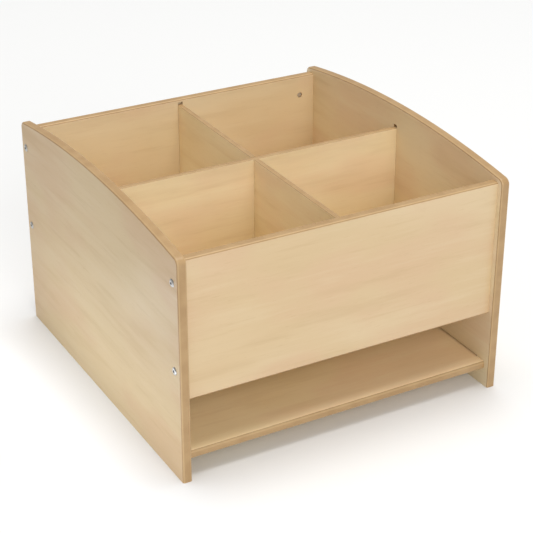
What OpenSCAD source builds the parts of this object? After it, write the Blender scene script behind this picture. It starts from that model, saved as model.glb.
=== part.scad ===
// Book display stand: a four-compartment browser box on full-height arched sides,
// with an open base shelf. Millimetres, +Z up, front towards -Y.
// The origin is on the floor, under the middle of the stand.

/* [Overall] */
// Width across the outer faces of the sides
stand_w = 600; // [480:10:760]
// Depth of the sides, front edge to back edge
stand_d = 624; // [520:4:760]
// Height of the sides where the arch meets the front and back edges
shoulder_h = 390; // [388:1:460]
// Rise of the arch above the shoulders, at mid-depth
arch_rise = 24; // [10:1:40]

/* [Boards] */
// Thickness of the side, front and back panels
board_t = 16; // [15:1:19]
// Thickness of the two dividers
divider_t = 9; // [6:1:12]
// Thickness of the compartment floor
floor_t = 12; // [9:1:15]
// Thickness of the base shelf
shelf_t = 15; // [12:1:18]
// How far the front and back panels sit behind the edges of the sides
panel_recess = 11; // [6:1:16]
// How far the base shelf sits behind the edges of the sides
shelf_recess = 12; // [6:1:20]

/* [Levels] */
// Top face of the base shelf
shelf_top = 47; // [36:1:60]
// Bottom edge of the front and back panels
panel_bottom = 142; // [120:1:144]
// Top edge of the front and back panels
panel_top = 384; // [380:1:386]
// Top face of the compartment floor
floor_top = 160; // [158:1:170]
// Top edge of the dividers
divider_top = 374; // [360:1:374]

/* [Edges] */
// Radius of the sides' top corners, seen from the side
corner_r = 12; // [8:1:20]
// Rounding along the edges of the sides, the front and the back
edge_r = 3.5; // [1:0.5:5]
// Rounding along the front and back edges of the base shelf
shelf_edge_r = 5; // [1:0.5:5.5]
// Rounding along the top edges of the dividers
divider_edge_r = 1.5; // [0.5:0.5:2.5]

/* [Joinery] */
// Depth of every groove
groove_depth = 5; // [3:0.5:7]
// Clearance round a board in its groove
fit_gap = 0.2; // [0.1:0.1:0.5]
// How far the dividers' grooves run on above the dividers
groove_rise = 5; // [2:1:6]
// How much taller the shelf's groove is than the shelf: a thin gap along the shelf's ends
shelf_groove_slack = 2; // [0.4:0.2:3]
// Distance from the shelf's front and back edges to the ends of its tongues
shelf_notch = 26; // [12:1:30]

/* [Fasteners] */
// Height of the upper row of connector bolts
upper_bolt_z = 346; // [300:1:356]
// Height of the lower row of connector bolts
lower_bolt_z = 195; // [180:1:230]
// Diameter of the bolts' shanks
bolt_d = 6; // [5:0.5:6.5]
// Length of a bolt under its head
bolt_length = 55; // [50:1:58]
// Diameter of the button heads
head_d = 13.5; // [11:0.5:15]
// Height of the button heads
head_h = 2.2; // [1.6:0.1:3]
// Hex key size, across flats
hex_key = 4; // [3:0.5:4]
// Diameter of the barrel nuts
nut_d = 10; // [9:0.5:10]
// Length of the barrel nuts
nut_length = 12; // [10:0.5:13]
// Distance of a barrel nut from the end of its panel
nut_inset = 30; // [26:1:34]

/* [Hidden] */
SIDES = ["left", "right"];
ENDS = ["front", "back"];
LEVELS = ["lower", "upper"];
fastener_sites = [for (side = [0, 1], end = [0, 1], level = [0, 1]) [side, end, level]];
function site_name(site) = str(SIDES[site[0]], "_", ENDS[site[1]], "_", LEVELS[site[2]]);

// Faces of the box
inner_x = stand_w / 2 - board_t;
panel_outer_y = stand_d / 2 - panel_recess;
panel_inner_y = panel_outer_y - board_t;
panel_mid_y = panel_outer_y - board_t / 2;
shelf_front_y = stand_d / 2 - shelf_recess;
bolt_z = [lower_bolt_z, upper_bolt_z];

// Arch of the sides: one circle through both shoulders and the crown
arch_r = (pow(stand_d / 2, 2) + pow(arch_rise, 2)) / (2 * arch_rise);
arch_centre_z = shoulder_h + arch_rise - arch_r;
// Centre of the corner circle, which touches the upright edge and the arch
corner_y = stand_d / 2 - corner_r;
corner_z = arch_centre_z + sqrt(pow(arch_r - corner_r, 2) - pow(corner_y, 2));
// Where the corner circle touches the arch
touch_scale = arch_r / (arch_r - corner_r);
touch_y = corner_y * touch_scale;
touch_z = arch_centre_z + (corner_z - arch_centre_z) * touch_scale;

// Lap joint of the dividers
lap_z = (floor_top + divider_top) / 2;
lap_w = divider_t + 2 * fit_gap;
lap_gap = 0.15;

// Holes
bolt_clearance = 0.6;
bolt_overrun = 3; // depth of the end bore past the tip of the bolt
nut_clearance = 0.3;
thread_clearance = 0.1;
bolt_hole_d = bolt_d + bolt_clearance;
bolt_hole_length = bolt_length - board_t + bolt_overrun;
nut_hole_d = nut_d + nut_clearance;
nut_thread_d = bolt_d + thread_clearance;
socket_depth = 2.8;
slot_w = 1.4;
slot_depth = 1.2;
cut = 1; // overrun of a cutting shape past the face that it cuts
shank_relief = 2; // the part of a bolt's shank that is turned down to a point
waste_reach = 4; // how many corner radii a corner's waste wedge runs out
arch_segments = 720;
corner_segments = 64;

face_color = [0.90, 0.80, 0.63];
inner_color = [0.82, 0.69, 0.48];
steel_color = [0.72, 0.73, 0.75];

// ---- Shared shapes ----

// A w by h rectangle centred on the origin with rounded corners
module rounded_rect(w, h, r) {
    square([w - 2 * r, h], center = true);
    square([w, h - 2 * r], center = true);
    for (x = [-1, 1], y = [-1, 1])
        translate([x * (w / 2 - r), y * (h / 2 - r)]) circle(r, $fn = 48);
}

// A disc of radius r and thickness t, its axis along X, centred, with a rounded rim
module round_rim_disc(r, t, segments) {
    rotate([0, 90, 0]) rotate_extrude($fn = segments) {
        translate([0, -t / 2]) square([r - edge_r, t]);
        translate([0, edge_r - t / 2]) square([r, t - 2 * edge_r]);
        for (y = [edge_r - t / 2, t / 2 - edge_r])
            translate([r - edge_r, y]) circle(edge_r, $fn = 48);
    }
}

// A board centred on x = 0 that runs along X, with its four long edges rounded
module round_edge_board(length, thickness, height, r) {
    translate([-length / 2, 0, height / 2])
        rotate([90, 0, 90]) linear_extrude(length) rounded_rect(thickness, height, r);
}

// A divider blank centred on x = 0: square below, with rounded top edges
module divider_blank(length) {
    height = divider_top - floor_top;
    body_h = height - divider_edge_r;
    translate([-length / 2, -divider_t / 2, 0]) cube([length, divider_t, body_h]);
    translate([-length / 2, divider_edge_r - divider_t / 2, 0])
        cube([length, divider_t - 2 * divider_edge_r, height]);
    for (y = [divider_edge_r - divider_t / 2, divider_t / 2 - divider_edge_r])
        translate([-length / 2, y, body_h])
            rotate([0, 90, 0]) cylinder(h = length, r = divider_edge_r, $fn = 32);
}

// ---- Sides ----

// The side panel before grooving, centred on x = 0
module side_blank() {
    difference() {
        intersection() {
            linear_extrude(shoulder_h + arch_rise + cut) rounded_rect(board_t, stand_d, edge_r);
            translate([0, 0, arch_centre_z]) round_rim_disc(arch_r, board_t, arch_segments);
        }
        for (end = [-1, 1]) corner_waste(end);
    }
    for (end = [-1, 1])
        translate([0, end * corner_y, corner_z]) round_rim_disc(corner_r, board_t, corner_segments);
}

// The wedge outside the corner circle, between its touching points
module corner_waste(end) {
    side_y = stand_d / 2 + cut;
    top_y = corner_y + (touch_y - corner_y) * waste_reach;
    top_z = corner_z + (touch_z - corner_z) * waste_reach;
    rotate([90, 0, 90]) linear_extrude(board_t + 2 * cut, center = true)
        polygon([
            [end * corner_y, corner_z],
            [end * side_y, corner_z],
            [end * side_y, top_z],
            [end * top_y, top_z]
        ]);
}

// Groove for the base shelf, with the round ends of a cutter
module shelf_groove() {
    height = shelf_t + shelf_groove_slack;
    reach = shelf_front_y - shelf_notch;
    mid_z = shelf_top - shelf_t + height / 2;
    translate([0, -reach, mid_z - height / 2]) cube([groove_depth + cut, 2 * reach, height]);
    for (end = [-1, 1])
        translate([0, end * reach, mid_z])
            rotate([0, 90, 0]) cylinder(h = groove_depth + cut, d = height, $fn = 48);
}

module side_panel() {
    inner_face = board_t / 2;
    groove_w = divider_t + 2 * fit_gap;
    floor_reach = panel_inner_y + groove_depth;
    difference() {
        side_blank();
        translate([inner_face - groove_depth, 0, 0]) {
            shelf_groove();
            translate([0, -floor_reach, floor_top - floor_t - fit_gap])
                cube([groove_depth + cut, 2 * floor_reach, floor_t + 2 * fit_gap]);
            translate([0, -groove_w / 2, floor_top])
                cube([groove_depth + cut, groove_w, divider_top + groove_rise - floor_top]);
        }
        for (end = [-1, 1], z = bolt_z)
            translate([-board_t / 2 - cut, end * panel_mid_y, z])
                rotate([0, 90, 0]) cylinder(h = board_t + 2 * cut, d = bolt_hole_d, $fn = 48);
    }
}

module left_side_panel() {
    color(face_color) translate([board_t / 2 - stand_w / 2, 0, 0]) side_panel();
}

module right_side_panel() {
    color(face_color) mirror([1, 0, 0])
        translate([board_t / 2 - stand_w / 2, 0, 0]) side_panel();
}

// ---- Front and back ----

// Panel between the sides, its inner face towards +Y, centred on y = 0
module end_panel() {
    length = 2 * inner_x;
    groove_w = divider_t + 2 * fit_gap;
    inner_face = board_t / 2;
    difference() {
        translate([0, 0, panel_bottom])
            round_edge_board(length, board_t, panel_top - panel_bottom, edge_r);
        translate([-length / 2 - cut, inner_face - groove_depth, floor_top - floor_t - fit_gap])
            cube([length + 2 * cut, groove_depth + cut, floor_t + 2 * fit_gap]);
        translate([-groove_w / 2, inner_face - groove_depth, floor_top])
            cube([groove_w, groove_depth + cut, divider_top + groove_rise - floor_top]);
        for (side = [0, 1], z = bolt_z)
            mirror([side, 0, 0]) fastener_holes(z);
    }
}

// End bore for a bolt, and the blind cross bore for its barrel nut
module fastener_holes(z) {
    translate([-inner_x - cut, 0, z])
        rotate([0, 90, 0]) cylinder(h = bolt_hole_length + cut, d = bolt_hole_d, $fn = 48);
    translate([nut_inset - inner_x, board_t / 2 + cut, z])
        rotate([90, 0, 0]) cylinder(h = nut_seat() + cut, d = nut_hole_d, $fn = 64);
}

// Depth of a barrel nut's bore: the nut sits centred on the bolt
function nut_seat() = board_t / 2 + nut_length / 2;

module front_panel() {
    color(face_color) translate([0, -panel_mid_y, 0]) end_panel();
}

module back_panel() {
    color(face_color) translate([0, panel_mid_y, 0]) mirror([0, 1, 0]) end_panel();
}

// ---- Boards inside ----

module centre_divider() {
    length = 2 * (panel_inner_y + groove_depth - fit_gap);
    color(inner_color) difference() {
        translate([0, 0, floor_top]) rotate([0, 0, 90]) divider_blank(length);
        translate([-divider_t, -lap_w / 2, lap_z - lap_gap])
            cube([2 * divider_t, lap_w, divider_top - lap_z + lap_gap + cut]);
    }
}

module cross_divider() {
    length = 2 * (inner_x + groove_depth - fit_gap);
    color(inner_color) difference() {
        translate([0, 0, floor_top]) divider_blank(length);
        translate([-lap_w / 2, -divider_t, floor_top - cut])
            cube([lap_w, 2 * divider_t, lap_z - floor_top + cut]);
    }
}

module compartment_floor() {
    half_x = inner_x + groove_depth - fit_gap;
    half_y = panel_inner_y + groove_depth - fit_gap;
    color(inner_color) translate([-half_x, -half_y, floor_top - floor_t])
        cube([2 * half_x, 2 * half_y, floor_t]);
}

// The shelf fills the width between the sides, and its tongues enter their grooves
module base_shelf() {
    tongue_x = inner_x + groove_depth - fit_gap;
    tongue_y = shelf_front_y - shelf_notch;
    color(inner_color) {
        translate([0, 0, shelf_top - shelf_t])
            round_edge_board(2 * inner_x, 2 * shelf_front_y, shelf_t, shelf_edge_r);
        translate([-tongue_x, -tongue_y, shelf_top - shelf_t])
            cube([2 * tongue_x, 2 * tongue_y, shelf_t]);
    }
}

// ---- Fasteners ----

// Button-head bolt: its head's seat at the origin, its shank towards +X
module connector_bolt() {
    dome_r = (pow(head_d / 2, 2) + pow(head_h, 2)) / (2 * head_h);
    hex_d = hex_key / cos(30);
    rotate([0, 90, 0]) difference() {
        union() {
            intersection() {
                translate([0, 0, -head_h]) cylinder(h = head_h, d = head_d, $fn = 64);
                translate([0, 0, dome_r - head_h]) sphere(dome_r, $fn = 96);
            }
            cylinder(h = bolt_length - shank_relief, d = bolt_d, $fn = 48);
            translate([0, 0, bolt_length - shank_relief])
                cylinder(h = shank_relief, d1 = bolt_d, d2 = bolt_d - shank_relief, $fn = 48);
        }
        translate([0, 0, -head_h - cut]) cylinder(h = socket_depth + cut, d = hex_d, $fn = 6);
    }
}

// Barrel nut along Y, its cross thread along X, with a screwdriver slot at the +Y end
module barrel_nut() {
    difference() {
        rotate([90, 0, 0]) cylinder(h = nut_length, d = nut_d, center = true, $fn = 64);
        rotate([0, 90, 0]) cylinder(h = nut_d + 2 * cut, d = nut_thread_d, center = true, $fn = 48);
        translate([-nut_d, nut_length / 2 - slot_depth, -slot_w / 2])
            cube([2 * nut_d, slot_depth + cut, slot_w]);
    }
}

// Puts a fastener at its site; the slots of the barrel nuts face into the box
module at_site(site, x) {
    color(steel_color) mirror([site[0], 0, 0]) mirror([0, site[1], 0])
        translate([x, -panel_mid_y, bolt_z[site[2]]]) children();
}

left_side_panel();
right_side_panel();
front_panel();
back_panel();
centre_divider();
cross_divider();
compartment_floor();
base_shelf();
for (site = fastener_sites) {
    at_site(site, -stand_w / 2) connector_bolt();
    at_site(site, nut_inset - inner_x) barrel_nut();
}
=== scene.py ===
import math

import bmesh
import bpy
from mathutils import Matrix, Vector


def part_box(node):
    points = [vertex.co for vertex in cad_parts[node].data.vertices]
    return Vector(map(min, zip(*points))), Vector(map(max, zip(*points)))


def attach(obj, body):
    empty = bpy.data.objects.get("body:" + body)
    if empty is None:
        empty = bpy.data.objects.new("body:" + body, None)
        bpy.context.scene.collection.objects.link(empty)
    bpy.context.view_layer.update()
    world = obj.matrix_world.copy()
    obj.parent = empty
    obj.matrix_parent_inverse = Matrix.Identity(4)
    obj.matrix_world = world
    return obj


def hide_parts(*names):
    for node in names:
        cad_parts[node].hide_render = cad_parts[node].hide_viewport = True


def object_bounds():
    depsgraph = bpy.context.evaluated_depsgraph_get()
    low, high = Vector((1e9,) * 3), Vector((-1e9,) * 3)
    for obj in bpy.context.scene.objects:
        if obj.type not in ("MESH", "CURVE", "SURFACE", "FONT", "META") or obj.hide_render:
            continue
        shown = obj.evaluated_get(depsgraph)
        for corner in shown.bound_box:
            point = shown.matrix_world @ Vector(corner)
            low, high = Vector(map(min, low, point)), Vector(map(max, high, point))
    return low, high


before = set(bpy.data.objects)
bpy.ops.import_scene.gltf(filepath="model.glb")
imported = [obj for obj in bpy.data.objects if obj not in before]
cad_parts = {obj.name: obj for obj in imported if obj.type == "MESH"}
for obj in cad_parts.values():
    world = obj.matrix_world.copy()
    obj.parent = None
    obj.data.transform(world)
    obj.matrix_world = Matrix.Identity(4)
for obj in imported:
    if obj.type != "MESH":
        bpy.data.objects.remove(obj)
cad_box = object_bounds()

MM = 0.001
SIDES = ("left", "right")
ENDS = ("front", "back")
LEVELS = ("lower", "upper")


# ---- Node helpers ----


def srgb(r, g, b):
    """A linear colour from sRGB values of 0 to 255."""
    def linear(value):
        v = value / 255
        return v / 12.92 if v <= 0.04045 else ((v + 0.055) / 1.055) ** 2.4
    return (linear(r), linear(g), linear(b), 1)


class Tree:
    """Short calls for building one material's nodes."""

    def __init__(self, name):
        self.material = bpy.data.materials.new(name)
        self.material.use_nodes = True
        self.nodes = self.material.node_tree.nodes
        self.links = self.material.node_tree.links
        self.shader = self.nodes["Principled BSDF"]

    def node(self, kind, **settings):
        made = self.nodes.new(kind)
        for key, value in settings.items():
            setattr(made, key, value)
        return made

    def feed(self, socket, value):
        """Links value to socket if it is another socket, and sets it if it is a number or colour."""
        if isinstance(value, bpy.types.NodeSocket):
            self.links.new(value, socket)
        else:
            socket.default_value = value

    def math(self, operation, a, b=0.0):
        made = self.node("ShaderNodeMath", operation=operation)
        self.feed(made.inputs[0], a)
        self.feed(made.inputs[1], b)
        return made.outputs[0]

    def mix(self, share, a, b, blend="MIX"):
        made = self.node("ShaderNodeMix", data_type="RGBA", blend_type=blend)
        self.feed(made.inputs["Factor"], share)
        self.feed(made.inputs[6], a)
        self.feed(made.inputs[7], b)
        return made.outputs[2]

    def remap(self, value, low, high, new_low=0.0, new_high=1.0, smooth=True):
        """Maps low to new_low and high to new_high, and holds those values outside that range."""
        made = self.node("ShaderNodeMapRange")
        made.interpolation_type = "SMOOTHSTEP" if smooth else "LINEAR"
        self.feed(made.inputs["Value"], value)
        for key, number in zip(("From Min", "From Max", "To Min", "To Max"),
                               (low, high, new_low, new_high)):
            made.inputs[key].default_value = number
        return made.outputs["Result"]

    def place(self, offset=(0, 0, 0), scale=(1, 1, 1), turn=(0, 0, 0)):
        """Object coordinates in metres, scaled, turned and moved by offset."""
        coords = self.node("ShaderNodeTexCoord")
        mapping = self.node("ShaderNodeMapping")
        mapping.inputs["Location"].default_value = offset
        mapping.inputs["Scale"].default_value = scale
        mapping.inputs["Rotation"].default_value = turn
        self.links.new(coords.outputs["Object"], mapping.inputs["Vector"])
        return mapping.outputs["Vector"]

    def noise(self, where, scale, detail=2.0, roughness=0.5, distortion=0.0):
        made = self.node("ShaderNodeTexNoise")
        self.links.new(where, made.inputs["Vector"])
        made.inputs["Scale"].default_value = scale
        made.inputs["Detail"].default_value = detail
        made.inputs["Roughness"].default_value = roughness
        made.inputs["Distortion"].default_value = distortion
        return made.outputs["Fac"]

    def bump(self, height, strength, distance, base=None):
        made = self.node("ShaderNodeBump")
        made.inputs["Strength"].default_value = strength
        made.inputs["Distance"].default_value = distance
        self.links.new(height, made.inputs["Height"])
        if base is not None:
            self.links.new(base, made.inputs["Normal"])
        return made.outputs["Normal"]


# ---- Board material: maple-effect faces with clear-lacquered fibreboard edges ----

AXIS = {"X": 0, "Y": 1, "Z": 2}
FACE_PALE = srgb(237, 216, 182)
FACE_TAN = srgb(226, 199, 158)
FACE_PINK = srgb(230, 198, 164)
FACE_GREEN = srgb(224, 207, 166)
FACE_STREAK = srgb(206, 174, 130)
EDGE_LIGHT = srgb(185, 152, 107)
EDGE_DARK = srgb(164, 129, 85)
# Painted highlight: the lighter colour given to the rounded arris of each edge, standing in for the
# lacquer's sheen there
EDGE_HIGHLIGHT = srgb(206, 176, 130)
SEAM = srgb(140, 92, 46)

# The range that most values of a noise lie in
NOISE_SPAN = (0.3, 0.7)

# A surface's squareness is 1 where it looks along the board's face axis and 0 on the edges.
# Each zone below starts and ends over a range of squareness.
ON_FACE = (0.90, 0.96)
SEAM_ZONE = ((0.80, 0.92), (0.99, 0.94))
# Painted highlight: the rounded arris between face and edge is lightened over this zone, by the
# share on the next line
ARRIS_ZONE = ((0.10, 0.45), (0.80, 0.60))
ARRIS_HIGHLIGHT = 0.45
WAVER = 0.012
SIDE_CHANGE = (-0.3, 0.3)

FACE_ROUGHNESS = (0.36, 0.46)
EDGE_ROUGHNESS = (0.38, 0.52)
COAT_WEIGHT = 0.12
COAT_ROUGHNESS = 0.25


def stretched(grain, stretch):
    """Scale that draws a texture out along the grain."""
    scale = [1.0, 1.0, 1.0]
    scale[AXIS[grain]] = 1 / stretch
    return scale


def warped(tree, where, amount, scale):
    """Bends the coordinates a little, so that the figure wanders as it does in a cut log."""
    drift = tree.node("ShaderNodeTexNoise")
    tree.links.new(where, drift.inputs["Vector"])
    drift.inputs["Scale"].default_value = scale
    drift.inputs["Detail"].default_value = 1.0
    centred = tree.node("ShaderNodeVectorMath", operation="SUBTRACT")
    tree.links.new(drift.outputs["Color"], centred.inputs[0])
    centred.inputs[1].default_value = (0.5, 0.5, 0.5)
    scaled = tree.node("ShaderNodeVectorMath", operation="SCALE")
    tree.links.new(centred.outputs[0], scaled.inputs[0])
    scaled.inputs["Scale"].default_value = amount
    moved = tree.node("ShaderNodeVectorMath", operation="ADD")
    tree.links.new(where, moved.inputs[0])
    tree.links.new(scaled.outputs[0], moved.inputs[1])
    return moved.outputs[0]


def maple_face(tree, grain, seed):
    """Colour of the printed maple face, its figure for the roughness and flecks for the bump."""
    offset = (seed * 1.37, seed * -2.11, seed * 0.83)
    tilt = tuple(0.0 if axis == grain else math.radians(1.2) for axis in "XYZ")
    broad_place = tree.place(offset, stretched(grain, 2.5))
    blush_place = tree.place((seed, 3.1, -seed), stretched(grain, 1.8))
    figure_place = tree.place(offset, stretched(grain, 8), tilt)
    figure_place = warped(tree, figure_place, amount=0.03, scale=5)
    streak_place = tree.place((-seed, seed, 2.7), stretched(grain, 16), tilt)
    streak_place = warped(tree, streak_place, amount=0.02, scale=6)
    flecks_place = tree.place(offset, stretched(grain, 12))
    broad = tree.noise(broad_place, scale=6, detail=2.0, roughness=0.5, distortion=0.3)
    blush = tree.noise(blush_place, scale=8, detail=2.0, roughness=0.5)
    figure = tree.noise(figure_place, scale=34, detail=3.0, roughness=0.55, distortion=0.2)
    streak = tree.noise(streak_place, scale=105, detail=4.0, roughness=0.62, distortion=0.2)
    flecks = tree.noise(flecks_place, scale=620, detail=2.0, roughness=0.6)
    # The noise that each layer follows, the values where it starts and is full, its share there
    # and its colour
    layers = (
        (blush, 0.46, 0.64, 0.70, FACE_PINK),
        (blush, 0.42, 0.28, 0.20, FACE_GREEN),
        (figure, 0.52, 0.74, 0.26, FACE_STREAK),
        (figure, 0.48, 0.28, 0.40, FACE_PALE),
        (streak, 0.54, 0.72, 0.20, FACE_STREAK),
        (streak, 0.46, 0.30, 0.22, FACE_PALE),
        (flecks, 0.60, 0.78, 0.30, FACE_STREAK),
    )
    colour = tree.mix(tree.remap(broad, 0.36, 0.64, 0.15, 0.75), FACE_PALE, FACE_TAN)
    for noise, start, full, share, tone in layers:
        colour = tree.mix(tree.remap(noise, start, full, 0, share), colour, tone)
    return colour, figure, flecks


def fibre_edge(tree, seed):
    """Colour of a routed, lacquered fibreboard edge, and its fibres for roughness and bump."""
    mottled = tree.noise(tree.place((seed, -seed, seed)), scale=38, detail=2.0, roughness=0.5)
    fibres = tree.noise(tree.place((seed, seed, 1.3)), scale=1100, detail=2.0, roughness=0.7)
    colour = tree.mix(tree.remap(mottled, 0.30, 0.72, 0.2, 0.7), EDGE_LIGHT, EDGE_DARK)
    colour = tree.mix(tree.remap(fibres, 0.50, 0.78, 0, 0.35), colour, EDGE_DARK)
    return colour, fibres


def normal_along(tree, face):
    """The part of the surface's normal that points along the face axis, -1 to 1."""
    geometry = tree.node("ShaderNodeNewGeometry")
    split = tree.node("ShaderNodeSeparateXYZ")
    tree.links.new(geometry.outputs["Normal"], split.inputs[0])
    return split.outputs[AXIS[face]]


def squareness(tree, along, seed):
    """How squarely the surface looks along the face axis, with a waver so no line is ruled."""
    wobble = tree.noise(tree.place((seed, 0, seed)), scale=130)
    waver = tree.remap(wobble, *NOISE_SPAN, -WAVER, WAVER, smooth=False)
    return tree.math("ADD", tree.math("ABSOLUTE", along), waver)


def zone(tree, facing, start, end):
    """1 between the two ranges of squareness, and 0 outside them."""
    return tree.math("MULTIPLY", tree.remap(facing, *start), tree.remap(facing, *end))


def tinted(tree, colour, along_outward, tints):
    """colour times the outer tint on the outward face and the inner tint on the other."""
    outer, inner = tints
    tint = tree.mix(tree.remap(along_outward, *SIDE_CHANGE), inner, outer)
    return tree.mix(1.0, colour, tint, "MULTIPLY")


def board_roughness(tree, figure, fibres, on_face):
    face = tree.remap(figure, *NOISE_SPAN, *FACE_ROUGHNESS)
    edge = tree.remap(fibres, *NOISE_SPAN, *EDGE_ROUGHNESS)
    off_face = tree.math("SUBTRACT", 1.0, on_face)
    face_part = tree.math("MULTIPLY", face, on_face)
    return tree.math("ADD", face_part, tree.math("MULTIPLY", edge, off_face))


def board_material(name, face, grain, seed, tints, outward, seam_depth):
    """face is the axis that the two faces look along, grain the axis of the figure, tints the
    tint of the outer and the inner face, and outward the sign of the outer face on its axis."""
    tree = Tree(name)
    shader = tree.shader.inputs
    maple, figure, flecks = maple_face(tree, grain, seed)
    fibre, fibres = fibre_edge(tree, seed)
    along = normal_along(tree, face)
    facing = squareness(tree, along, seed)
    on_face = tree.remap(facing, *ON_FACE)
    maple = tinted(tree, maple, tree.math("MULTIPLY", along, outward), tints)
    # Painted highlight: the edge colour is lightened on the rounded arris
    painted_highlight = tree.math("MULTIPLY", zone(tree, facing, *ARRIS_ZONE), ARRIS_HIGHLIGHT)
    seam = tree.math("MULTIPLY", zone(tree, facing, *SEAM_ZONE), seam_depth)
    colour = tree.mix(on_face, tree.mix(painted_highlight, fibre, EDGE_HIGHLIGHT), maple)
    tree.links.new(tree.mix(seam, colour, SEAM), shader["Base Color"])
    tree.links.new(board_roughness(tree, figure, fibres, on_face), shader["Roughness"])
    grain_normal = tree.bump(flecks, strength=0.10, distance=0.15 * MM)
    fibre_normal = tree.bump(fibres, strength=0.06, distance=0.2 * MM, base=grain_normal)
    tree.links.new(fibre_normal, shader["Normal"])
    shader["Coat Weight"].default_value = COAT_WEIGHT
    shader["Coat Roughness"].default_value = COAT_ROUGHNESS
    return tree.material


# Tints multiply the face colours. They also make up for how much light each board gets.
OUTER_SIDE = (0.72, 0.66, 0.51, 1)
INNER_SIDE = (1.00, 1.05, 1.05, 1)
OUTER_PANEL = (0.84, 0.81, 0.74, 1)
INNER_PANEL = (0.98, 1.00, 0.98, 1)
DIVIDER = (1.13, 1.21, 1.21, 1)
COMPARTMENT_FLOOR = (0.92, 0.90, 0.84, 1)
SHELF = (1.17, 1.20, 1.13, 1)

# Node, face axis, grain axis, seed, outer and inner tint, depth of the dark seam line
BOARDS = (
    ("left_side_panel", "X", "Y", 1.0, (OUTER_SIDE, INNER_SIDE), 0.65),
    ("right_side_panel", "X", "Y", 2.0, (OUTER_SIDE, INNER_SIDE), 0.55),
    ("front_panel", "Y", "X", 3.0, (OUTER_PANEL, INNER_PANEL), 0.45),
    ("back_panel", "Y", "X", 4.0, (OUTER_PANEL, INNER_PANEL), 0.45),
    ("centre_divider", "X", "Y", 5.0, (DIVIDER, DIVIDER), 0.35),
    ("cross_divider", "Y", "X", 6.0, (DIVIDER, DIVIDER), 0.35),
    ("compartment_floor", "Z", "X", 7.0, (COMPARTMENT_FLOOR, COMPARTMENT_FLOOR), 0.35),
    ("base_shelf", "Z", "X", 8.0, (SHELF, SHELF), 0.0),
)


def dress_boards():
    """Gives every board's CAD mesh a material of its own."""
    for node, face, grain, seed, tints, seam_depth in BOARDS:
        low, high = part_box(node)
        outward = math.copysign(1.0, (low + high)[AXIS[face]])
        name = "maple_" + node
        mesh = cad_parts[node].data
        mesh.materials.clear()
        mesh.materials.append(board_material(name, face, grain, seed, tints, outward, seam_depth))


# ---- Fasteners ----

BOLT_ZINC = srgb(188, 187, 184)
BOLT_ROUGHNESS = 0.36
NUT_ZINC = srgb(224, 223, 221)
NUT_ROUGHNESS = 0.45
# The socket's colours are partly its duller metal and partly painted shade in the recess
SOCKET_LIGHT = srgb(84, 80, 76)
SOCKET_DARK = srgb(58, 54, 50)
SOCKET_ROUGHNESS = (0.5, 0.7)
SOCKET_METALLIC = 0.5
# The cloudy patches of the zinc: the noise values they fade in over and their darkness
CLOUD_SPAN = (0.35, 0.7)
DULLING = 0.86
# How far the marks take the zinc's roughness below and above its middle value
MARK_SMOOTHER = 0.05
MARK_ROUGHER = 0.09


def steel_material(name, base, roughness):
    """Bright zinc plate: slightly cloudy, with fine marks."""
    tree = Tree(name)
    shader = tree.shader.inputs
    cloud = tree.noise(tree.place((1.1, 0.4, 2.2)), scale=300, detail=3.0, roughness=0.6)
    marks = tree.noise(tree.place((0.3, 0.2, 0.1)), scale=2600, detail=2.0, roughness=0.6)
    dull = tuple(DULLING * value for value in base[:3]) + (1,)
    rough = tree.remap(marks, *NOISE_SPAN, roughness - MARK_SMOOTHER, roughness + MARK_ROUGHER)
    tree.links.new(tree.mix(tree.remap(cloud, *CLOUD_SPAN), base, dull), shader["Base Color"])
    tree.links.new(rough, shader["Roughness"])
    tree.links.new(tree.bump(marks, strength=0.15, distance=0.02 * MM), shader["Normal"])
    shader["Metallic"].default_value = 1.0
    return tree.material


def socket_material(name):
    """The inside of a hex socket, darker than the head: partly its duller, unpolished metal and
    partly painted shade in the recess.
    """
    tree = Tree(name)
    shader = tree.shader.inputs
    stain = tree.noise(tree.place((0.7, 0.2, 0.4)), scale=900, detail=2.0, roughness=0.6)
    colour = tree.mix(tree.remap(stain, *NOISE_SPAN), SOCKET_LIGHT, SOCKET_DARK)
    tree.links.new(colour, shader["Base Color"])
    tree.links.new(tree.remap(stain, *NOISE_SPAN, *SOCKET_ROUGHNESS), shader["Roughness"])
    shader["Metallic"].default_value = SOCKET_METALLIC
    return tree.material


def lathe(mesh, profile, segments):
    """Turns (height, radius) points about +X, and returns the rings. A radius of 0 is a point."""
    rings = []
    for height, radius in profile:
        if radius == 0:
            rings.append([mesh.verts.new((height, 0, 0))])
            continue
        rings.append([
            mesh.verts.new((height, radius * math.cos(math.tau * i / segments),
                            radius * math.sin(math.tau * i / segments)))
            for i in range(segments)
        ])
    for low, high in zip(rings, rings[1:]):
        bridge(mesh, low, high)
    return rings


def bridge(mesh, low, high):
    """Faces between two rings of vertices, either of which may be a single point."""
    count = max(len(low), len(high))
    for i in range(count):
        j = (i + 1) % count
        corners = [low[i % len(low)], low[j % len(low)], high[j % len(high)], high[i % len(high)]]
        distinct = [v for k, v in enumerate(corners) if v not in corners[:k]]
        mesh.faces.new(distinct)


SMOOTH_BELOW = math.radians(35)


def finish_piece(name, mesh, materials):
    """An object made from mesh, shaded smooth across its shallow edges."""
    bmesh.ops.recalc_face_normals(mesh, faces=mesh.faces)
    for edge in mesh.edges:
        edge.smooth = edge.is_manifold and edge.calc_face_angle(0) < SMOOTH_BELOW
    for face in mesh.faces:
        face.smooth = True
    data = bpy.data.meshes.new(name)
    mesh.to_mesh(data)
    mesh.free()
    for material in materials:
        data.materials.append(material)
    piece = bpy.data.objects.new(name, data)
    bpy.context.scene.collection.objects.link(piece)
    return piece


HEAD_H = 2.0 * MM
HEAD_R = 6.7 * MM
BOLT_SEGMENTS = 48
DOME_STEPS = 10
DOME_START = math.radians(8)
DOME_END = math.radians(84)
RIM_H = 0.25 * MM
RIM_CHAMFER = (0.1 * MM, 0.15 * MM)

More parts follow.
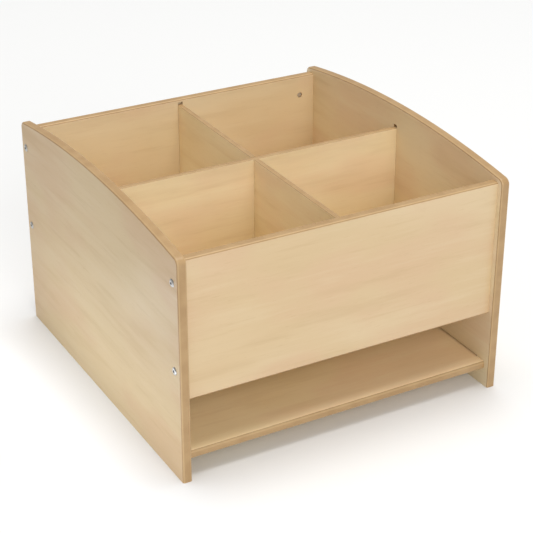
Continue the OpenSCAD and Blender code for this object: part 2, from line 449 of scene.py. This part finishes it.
SHANK_R = 2.95 * MM
ROOT_R = 2.45 * MM
NECK_TAPER = 0.6 * MM
THREAD_PITCH = 1.0 * MM
THREAD_LENGTH = 28 * MM
TIP_LENGTH = 2 * MM
CREST = (0.42 * THREAD_PITCH, 0.56 * THREAD_PITCH)
POINT_LENGTH = 1.2 * MM
POINT_CHAMFER = 0.8 * MM

HEX_R = 2.3 * MM
HEX_DEPTH = 2.8 * MM
HEX_SIDES = 6
LIP_R = 1.16 * HEX_R
DRILL_POINT = 0.6 * MM
# The socket's rings from its lip down: depth and corner radius
SOCKET_RINGS = ((0.12 * MM, 1.08 * HEX_R), (0.35 * MM, HEX_R), (HEX_DEPTH, HEX_R))
# Faces that reach no further out than this are dark, which leaves the lip's corners bright
SOCKET_REACH = 1.01 * HEX_R

# Gap between each end of a detailed bolt and its CAD node's box
BOX_MARGIN = 0.005 * MM
# Each bolt is turned this much further than the one before
TWIST_STEP = math.radians(17)


def dome_profile():
    """The button head from the socket's lip over the dome and down to its seat."""
    width = math.sin(DOME_END) - math.sin(DOME_START)
    rise = math.cos(DOME_START) - math.cos(DOME_END)
    points = []
    for i in range(DOME_STEPS + 1):
        turn = DOME_START + (DOME_END - DOME_START) * i / DOME_STEPS
        out = (math.sin(turn) - math.sin(DOME_START)) / width
        up = (math.cos(turn) - math.cos(DOME_END)) / rise
        points.append((-max(HEAD_H * up, RIM_H), LIP_R + (HEAD_R - LIP_R) * out))
    chamfer_h, chamfer_r = RIM_CHAMFER
    return points + [(-chamfer_h, HEAD_R), (0, HEAD_R - chamfer_r), (0, SHANK_R)]


def shank_profile(length):
    """Plain neck, thread ridges to the tip, and the chamfered point."""
    thread_start = length - THREAD_LENGTH
    points = [(thread_start - NECK_TAPER, SHANK_R)]
    for i in range(int((THREAD_LENGTH - TIP_LENGTH) / THREAD_PITCH)):
        x = thread_start + i * THREAD_PITCH
        points.append((x, ROOT_R))
        points += [(x + crest, SHANK_R) for crest in CREST]
    points.append((length - POINT_LENGTH, ROOT_R))
    return points + [(length, ROOT_R - POINT_CHAMFER), (length, 0)]


def hex_point(x, corner_r, index):
    """Point number index round a hexagon of that corner radius, at height x."""
    turn = math.tau * index / BOLT_SEGMENTS
    sector = math.tau / HEX_SIDES
    within = (turn % sector) - sector / 2
    radius = corner_r * math.cos(sector / 2) / math.cos(within)
    return (x, radius * math.cos(turn), radius * math.sin(turn))


def bolt_mesh(length):
    """Button-head bolt seated on x = 0, its head towards -X and its shank towards +X."""
    mesh = bmesh.new()
    mouth = lathe(mesh, dome_profile() + shank_profile(length), BOLT_SEGMENTS)[0]
    top = mouth[0].co.x
    above = mouth
    for depth, corner_r in SOCKET_RINGS:
        points = [hex_point(top + depth, corner_r, i) for i in range(BOLT_SEGMENTS)]
        below = [mesh.verts.new(point) for point in points]
        bridge(mesh, above, below)
        above = below
    bridge(mesh, above, [mesh.verts.new((top + HEX_DEPTH + DRILL_POINT, 0, 0))])
    for face in mesh.faces:
        depth = face.calc_center_median().x - top
        reach = max(vertex.co.yz.length for vertex in face.verts)
        if 0 < depth < HEX_DEPTH + DRILL_POINT and reach < SOCKET_REACH:
            face.material_index = 1
    return mesh


NUT_CHAMFER = 0.5 * MM
NUT_SEGMENTS = 48
SLOT_WIDTH = 1.4 * MM
SLOT_DEPTH = 1.4 * MM
CROSS_R = 3.05 * MM
CROSS_SEGMENTS = 40
# The cutters reach this many radii from the nut's axis, and this far past its slotted end
CUT_REACH = 1.3
CUT_OVERRUN = 1.0 * MM


def nut_mesh(length, radius):
    """Barrel nut along X with chamfered rims, before it is slotted and cross-drilled."""
    mesh = bmesh.new()
    half = length / 2
    body = [(NUT_CHAMFER - half, radius), (half - NUT_CHAMFER, radius)]
    head = [(-half, 0), (-half, radius - NUT_CHAMFER)]
    tail = [(half, radius - NUT_CHAMFER), (half, 0)]
    lathe(mesh, head + body + tail, NUT_SEGMENTS)
    return mesh


def cut_from(piece, cutters):
    """Cuts closed meshes out of a piece and leaves no modifier behind."""
    for name, cutter in cutters:
        data = bpy.data.meshes.new(name)
        bmesh.ops.recalc_face_normals(cutter, faces=cutter.faces)
        cutter.to_mesh(data)
        cutter.free()
        tool = bpy.data.objects.new(name, data)
        bpy.context.scene.collection.objects.link(tool)
        modifier = piece.modifiers.new(name, "BOOLEAN")
        modifier.operation = "DIFFERENCE"
        modifier.solver = "EXACT"
        modifier.object = tool
        bpy.context.view_layer.update()
        evaluated = piece.evaluated_get(bpy.context.evaluated_depsgraph_get())
        fresh = bpy.data.meshes.new_from_object(evaluated)
        piece.modifiers.remove(modifier)
        old = piece.data
        piece.data = fresh
        bpy.data.meshes.remove(old)
        bpy.data.objects.remove(tool)


def box_mesh(low, high):
    mesh = bmesh.new()
    bmesh.ops.create_cube(mesh, size=1)
    centre = (Vector(low) + Vector(high)) / 2
    size = Vector(high) - Vector(low)
    for vertex in mesh.verts:
        vertex.co = centre + Vector(vertex.co[i] * size[i] for i in range(3))
    return mesh


def bar_mesh(radius, reach):
    """A closed bar along Y through the origin, for the nut's cross thread."""
    mesh = bmesh.new()
    lathe(mesh, [(-reach, 0), (-reach, radius), (reach, radius), (reach, 0)], CROSS_SEGMENTS)
    quarter = math.radians(90)
    mesh.transform(Matrix.Rotation(quarter, 4, "X") @ Matrix.Rotation(quarter, 4, "Y"))
    return mesh


def build_bolt(index, site, materials):
    """The bolt of one site, over its CAD node's box."""
    side, end, level = site
    node = f"bolt_{side}_{end}_{level}"
    low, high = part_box(node)
    centre = (low + high) / 2
    length = high.x - low.x - HEAD_H - 2 * BOX_MARGIN
    seat = max(abs(low.x), abs(high.x)) - HEAD_H - BOX_MARGIN
    if side == "left":
        place = Matrix.Translation((-seat, centre.y, centre.z))
    else:
        place = Matrix.Translation((seat, centre.y, centre.z)) @ Matrix.Rotation(math.pi, 4, "Z")
    mesh = bolt_mesh(length)
    mesh.transform(place @ Matrix.Rotation(TWIST_STEP * index, 4, "X"))
    piece = finish_piece("detailed_" + node, mesh, materials)
    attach(piece, "root")
    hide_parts(node)


def build_nut(site, material):
    """The barrel nut of one site, its slot facing into the box."""
    side, end, level = site
    node = f"barrel_nut_{side}_{end}_{level}"
    low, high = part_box(node)
    length = high.y - low.y
    radius = (high.z - low.z) / 2
    reach = CUT_REACH * radius
    slot_low = (-length / 2 - CUT_OVERRUN, -reach, -SLOT_WIDTH / 2)
    slot_high = (SLOT_DEPTH - length / 2, reach, SLOT_WIDTH / 2)
    piece = finish_piece("detailed_" + node, nut_mesh(length, radius), [material])
    cutters = (("slot", box_mesh(slot_low, slot_high)), ("cross_thread", bar_mesh(CROSS_R, reach)))
    cut_from(piece, cutters)
    quarter_turn = math.radians(-90 if end == "front" else 90)
    turn = Matrix.Rotation(quarter_turn, 4, "Z")
    piece.data.transform(Matrix.Translation((low + high) / 2) @ turn)
    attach(piece, "root")
    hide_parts(node)


def build_fasteners():
    bolt_steel = steel_material("zinc_bolt", BOLT_ZINC, BOLT_ROUGHNESS)
    nut_steel = steel_material("zinc_nut", NUT_ZINC, NUT_ROUGHNESS)
    socket = socket_material("bolt_socket")
    sites = [(side, end, level) for side in SIDES for end in ENDS for level in LEVELS]
    for index, site in enumerate(sites):
        build_bolt(index, site, (bolt_steel, socket))
        build_nut(site, nut_steel)


# ---- Floor, light and camera ----

FLOOR_SIZE = 12
FLOOR_GREY = srgb(236, 236, 235)
FLOOR_ROUGHNESS = 0.9
WORLD_STRENGTH = 0.40
# Every light but the low one points here
LIGHT_AIM = (0, 0, 0.2)


def build_floor():
    mesh = bmesh.new()
    bmesh.ops.create_grid(mesh, x_segments=1, y_segments=1, size=FLOOR_SIZE)
    data = bpy.data.meshes.new("studio_floor")
    mesh.to_mesh(data)
    mesh.free()
    floor = bpy.data.objects.new("studio_floor", data)
    bpy.context.scene.collection.objects.link(floor)
    tree = Tree("studio_floor")
    tree.shader.inputs["Base Color"].default_value = FLOOR_GREY
    tree.shader.inputs["Roughness"].default_value = FLOOR_ROUGHNESS
    data.materials.append(tree.material)


def area_light(name, position, aim, size, power, colour=(1, 1, 1)):
    """A soft rectangular light of that width and height, which the camera doesn't see."""
    data = bpy.data.lights.new(name, "AREA")
    data.shape = "RECTANGLE"
    data.size, data.size_y = size
    data.energy = power
    data.color = colour
    light = bpy.data.objects.new(name, data)
    light.location = position
    light.rotation_euler = (Vector(aim) - Vector(position)).to_track_quat("-Z", "Y").to_euler()
    light.visible_camera = False
    bpy.context.scene.collection.objects.link(light)


def build_light():
    """A key light from the front, a small cool one low on the left and a wide one from above."""
    world = bpy.data.worlds.new("studio")
    world.use_nodes = True
    background = world.node_tree.nodes["Background"]
    background.inputs["Color"].default_value = (1, 1, 1, 1)
    background.inputs["Strength"].default_value = WORLD_STRENGTH
    bpy.context.scene.world = world
    area_light("key", (-0.7, -5.8, 3.1), LIGHT_AIM, size=(3.6, 3.6), power=155)
    area_light("low", (-0.52, -0.12, 0.07), (-0.3, -0.12, 0.07),
               size=(0.75, 0.1), power=0.43, colour=(0.9, 1.0, 1.18))
    area_light("top", (0.8, 0.4, 12.0), LIGHT_AIM, size=(7, 7), power=1100)
    bpy.context.scene.view_settings.view_transform = "Standard"


VIEW_AZIMUTH = -29.14
VIEW_ELEVATION = 27.16
VIEW_DISTANCE = 2.678
VIEW_LENS = 103.75
SENSOR = 36
CLIP_END = 100
# The point that the camera looks at, from the middle of the stand's box
AIM_OFFSET = Vector((0.0092, -0.0237, -0.0316))


def build_camera():
    low, high = cad_box
    aim = (Vector(low) + Vector(high)) / 2 + AIM_OFFSET
    azimuth = math.radians(VIEW_AZIMUTH)
    elevation = math.radians(VIEW_ELEVATION)
    away = Vector((math.sin(azimuth) * math.cos(elevation),
                   -math.cos(azimuth) * math.cos(elevation), math.sin(elevation)))
    data = bpy.data.cameras.new("camera")
    data.lens = VIEW_LENS
    data.sensor_width = SENSOR
    data.clip_end = CLIP_END
    camera = bpy.data.objects.new("camera", data)
    camera.location = aim + away * VIEW_DISTANCE
    camera.rotation_euler = (-away).to_track_quat("-Z", "Y").to_euler()
    bpy.context.scene.collection.objects.link(camera)
    bpy.context.scene.camera = camera


dress_boards()
build_fasteners()
build_floor()
build_light()
build_camera()
